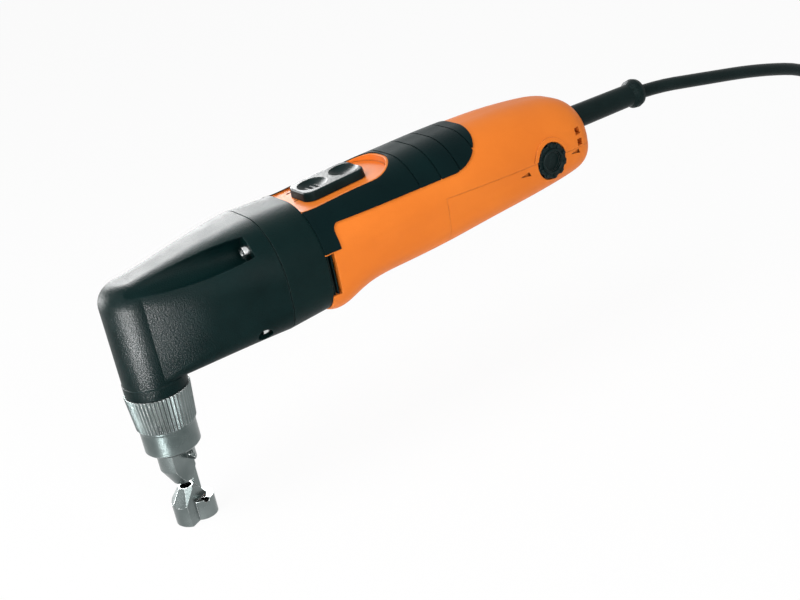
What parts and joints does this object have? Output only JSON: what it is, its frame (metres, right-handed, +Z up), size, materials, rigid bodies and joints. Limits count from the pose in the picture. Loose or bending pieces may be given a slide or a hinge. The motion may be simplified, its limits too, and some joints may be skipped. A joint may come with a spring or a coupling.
{
  "type": "nibbler",
  "caption": "Hand-held electric nibbler: slim motor housing with grip and slide switch, angled gear head, reciprocating punch over a turnable die, mains cord",
  "frame": {"origin": "on the flat foot of the die, under the punch axis", "axes": "+X from the die towards the cord, +Y to the tool's right, +Z up along the punch"},
  "size_m": [0.776, 0.0745, 0.1326],
  "materials": {
    "head_black": "fine sand texture",
    "flange_grey": "satin",
    "orange": "moulded satin",
    "cover_orange": "moulded satin",
    "grip": "soft matt",
    "switch_black": "moulded",
    "inner_plastic": "moulded",
    "tool_steel": "machined",
    "knurled_steel": "blackened",
    "gear_steel": "machined",
    "bearing_steel": "ground",
    "screw_steel": "zinc plated",
    "bronze": "sintered",
    "lamination": "stacked sheet",
    "copper": "enamelled copper",
    "carbon": "pressed carbon",
    "cord_rubber": "soft",
    "tie": "strap",
    "plug_brass": "plated"
  },
  "bodies": {
    "housing": {"gear_head": "head_black", "motor_flange": "flange_grey", "motor_housing": "orange", "rear_cover": "cover_orange", "grip_inlay": "grip", "switch_module": "inner_plastic", "speed_module": "inner_plastic", "cord_clamp": "inner_plastic", "left_brush_holder": "inner_plastic", "right_brush_holder": "inner_plastic", "front_drive_bearing": "bearing_steel", "rear_drive_bearing": "bearing_steel", "front_motor_bearing": "bearing_steel", "rear_motor_bearing": "bearing_steel", "head_screws": "screw_steel", "cover_screws": "screw_steel", "clamp_screws": "screw_steel", "lower_ram_bush": "bronze", "upper_ram_bush": "bronze", "stator_core": "lamination", "left_field_coil": "copper", "right_field_coil": "copper", "left_carbon_brush": "carbon", "right_carbon_brush": "carbon", "cord_sleeve": "cord_rubber", "inner_cord": "cord_rubber", "mains_cord": "cord_rubber", "cord_hank": "cord_rubber", "mains_plug": "cord_rubber", "hank_tie": "tie", "plug_pins": "plug_brass"},
    "rotor": {"armature_shaft": "gear_steel", "armature_core": "lamination", "armature_winding": "copper", "commutator": "copper", "fan": "inner_plastic", "pinion": "gear_steel"},
    "eccentric": {"eccentric_shaft": "gear_steel", "eccentric_roller": "gear_steel", "drive_gear": "gear_steel"},
    "ram_slide": {"ram": "tool_steel", "punch": "tool_steel", "punch_pin": "tool_steel"},
    "die_head": {"die_carrier": "tool_steel", "die": "tool_steel", "die_pin": "knurled_steel"},
    "ring": {"union_ring": "knurled_steel"},
    "switch": {"switch_slider": "switch_black", "switch_bar": "inner_plastic"},
    "dial": {"speed_dial": "switch_black"}
  },
  "joints": [
    {"name": "rotor_spin", "type": "hinge", "parent": "housing", "child": "rotor", "pos_m": [0.12, 0, 0.1056], "axis": [1, 0, 0], "continuous": true},
    {"name": "eccentric_spin", "type": "hinge", "parent": "housing", "child": "eccentric", "pos_m": [0.03, 0, 0.0921], "axis": [1, 0, 0], "continuous": true},
    {"name": "ram_stroke", "type": "slide", "parent": "housing", "child": "ram_slide", "axis": [0, 0, -1], "range_m": [0, 0.0048]},
    {"name": "die_swivel", "type": "hinge", "parent": "housing", "child": "die_head", "pos_m": [0, 0, 0.03], "axis": [0, 0, 1], "range_deg": [-180, 180]},
    {"name": "ring_turn", "type": "hinge", "parent": "housing", "child": "ring", "pos_m": [0, 0, 0.05], "axis": [0, 0, 1], "range_deg": [0, 360]},
    {"name": "switch_slide", "type": "slide", "parent": "housing", "child": "switch", "axis": [-0.9981, 0, -0.0609], "range_m": [0, 0.006]},
    {"name": "dial_turn", "type": "hinge", "parent": "housing", "child": "dial", "pos_m": [0.212, -0.024, 0.1051], "axis": [0, -1, 0], "range_deg": [0, 270]}
  ],
  "couplings": [
    {"joint": "eccentric_spin", "follows": "rotor_spin", "ratio": -0.28571}
  ]
}
